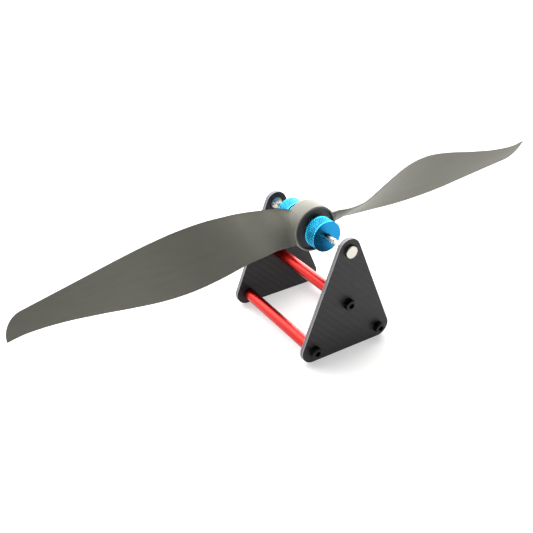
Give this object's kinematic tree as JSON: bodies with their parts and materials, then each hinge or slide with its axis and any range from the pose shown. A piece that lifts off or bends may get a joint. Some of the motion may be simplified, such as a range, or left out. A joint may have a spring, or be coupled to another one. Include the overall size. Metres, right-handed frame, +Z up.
{
  "type": "propeller on a balancing stand",
  "caption": "Moulded propeller clamped between knurled cone knobs on a pointed shaft, hung between disc magnets in a carbon-plate balancing stand.",
  "frame": {"origin": "on the surface the stand rests on, midway between the two plates and under the shaft", "axes": "+X along the blades, towards the blade that points up at rest, +Y along the shaft from the front plate to the rear plate, +Z up"},
  "size_m": [0.293, 0.07, 0.0711],
  "materials": {
    "carbon_plate": "carbon-fibre twill laminate, satin clear resin, sawn grey edges",
    "red_anodised": "bright red anodised, turned",
    "blue_anodised": "bright blue anodised, turned and knurled",
    "black_oxide": "black oxide alloy steel",
    "nickel": "bright nickel plate",
    "shaft_steel": "ground and polished",
    "propeller_grey": "glass-filled nylon, satin moulded"
  },
  "bodies": {
    "stand": {"front_plate": "carbon_plate", "rear_plate": "carbon_plate", "left_standoff": "red_anodised", "right_standoff": "red_anodised", "centre_standoff": "red_anodised", "front_left_screw": "black_oxide", "front_right_screw": "black_oxide", "front_centre_screw": "black_oxide", "rear_left_screw": "black_oxide", "rear_right_screw": "black_oxide", "rear_centre_screw": "black_oxide", "front_magnet": "nickel", "rear_magnet": "nickel"},
    "rotor": {"shaft": "shaft_steel", "propeller": "propeller_grey"},
    "front_cone": {"front_cone": "blue_anodised"},
    "front_knob": {"front_knob": "blue_anodised"},
    "rear_cone": {"rear_cone": "blue_anodised"},
    "rear_knob": {"rear_knob": "blue_anodised"}
  },
  "joints": [
    {"name": "rotor_spin", "type": "hinge", "parent": "stand", "child": "rotor", "pos_m": [0, 0, 0.0536], "axis": [0, 1, 0], "range_deg": [-16.5, 22]},
    {"name": "front_cone_slide", "type": "slide", "parent": "rotor", "child": "front_cone", "axis": [0, -1, 0], "range_m": [0, 0.005]},
    {"name": "front_knob_turn", "type": "hinge", "parent": "front_cone", "child": "front_knob", "pos_m": [0, -0.011, 0.0536], "axis": [0, -1, 0], "range_deg": [0, 3600]},
    {"name": "rear_cone_slide", "type": "slide", "parent": "rotor", "child": "rear_cone", "axis": [0, 1, 0], "range_m": [0, 0.005]},
    {"name": "rear_knob_turn", "type": "hinge", "parent": "rear_cone", "child": "rear_knob", "pos_m": [0, 0.0143, 0.0536], "axis": [0, 1, 0], "range_deg": [0, 3600]}
  ],
  "couplings": [
    {"joint": "front_cone_slide", "follows": "front_knob_turn", "m_per_rad": 0.000079577},
    {"joint": "rear_cone_slide", "follows": "rear_knob_turn", "m_per_rad": 0.000079577}
  ]
}
